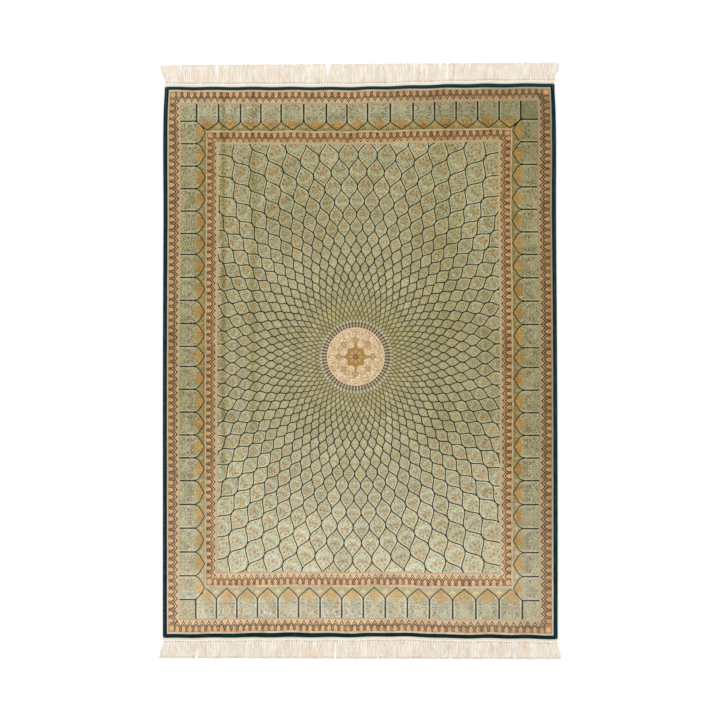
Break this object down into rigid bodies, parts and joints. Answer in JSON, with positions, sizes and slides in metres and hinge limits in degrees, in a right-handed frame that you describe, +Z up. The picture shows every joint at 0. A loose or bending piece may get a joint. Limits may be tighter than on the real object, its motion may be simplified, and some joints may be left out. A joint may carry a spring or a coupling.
{
  "type": "persian silk rug",
  "caption": "Fringed Persian silk rug lying flat: dome-pattern pile with arched borders, overcast side cords, plain-woven ends and knotted warp fringe.",
  "frame": {"origin": "middle of the footprint, on the underside that lies on the floor", "axes": "+Z up out of the pile, +Y along the warps towards the top end of the pattern, +X across the rug to the right"},
  "size_m": [1.424, 2.1232, 0.0056],
  "materials": {
    "silk_pile": "short cut silk pile, olive green, gold and pale blue pattern",
    "side_cord": "silk overcast cord, dark teal",
    "kilim_weave": "plain weave, cream",
    "warp_fringe": "loose silk warp strands, cream"
  },
  "bodies": {
    "root": {"rug_pile": "silk_pile", "selvedge_left": "side_cord", "selvedge_right": "side_cord", "kilim_end_top": "kilim_weave", "kilim_end_bottom": "kilim_weave", "fringe_top": "warp_fringe", "fringe_bottom": "warp_fringe"}
  },
  "joints": []
}
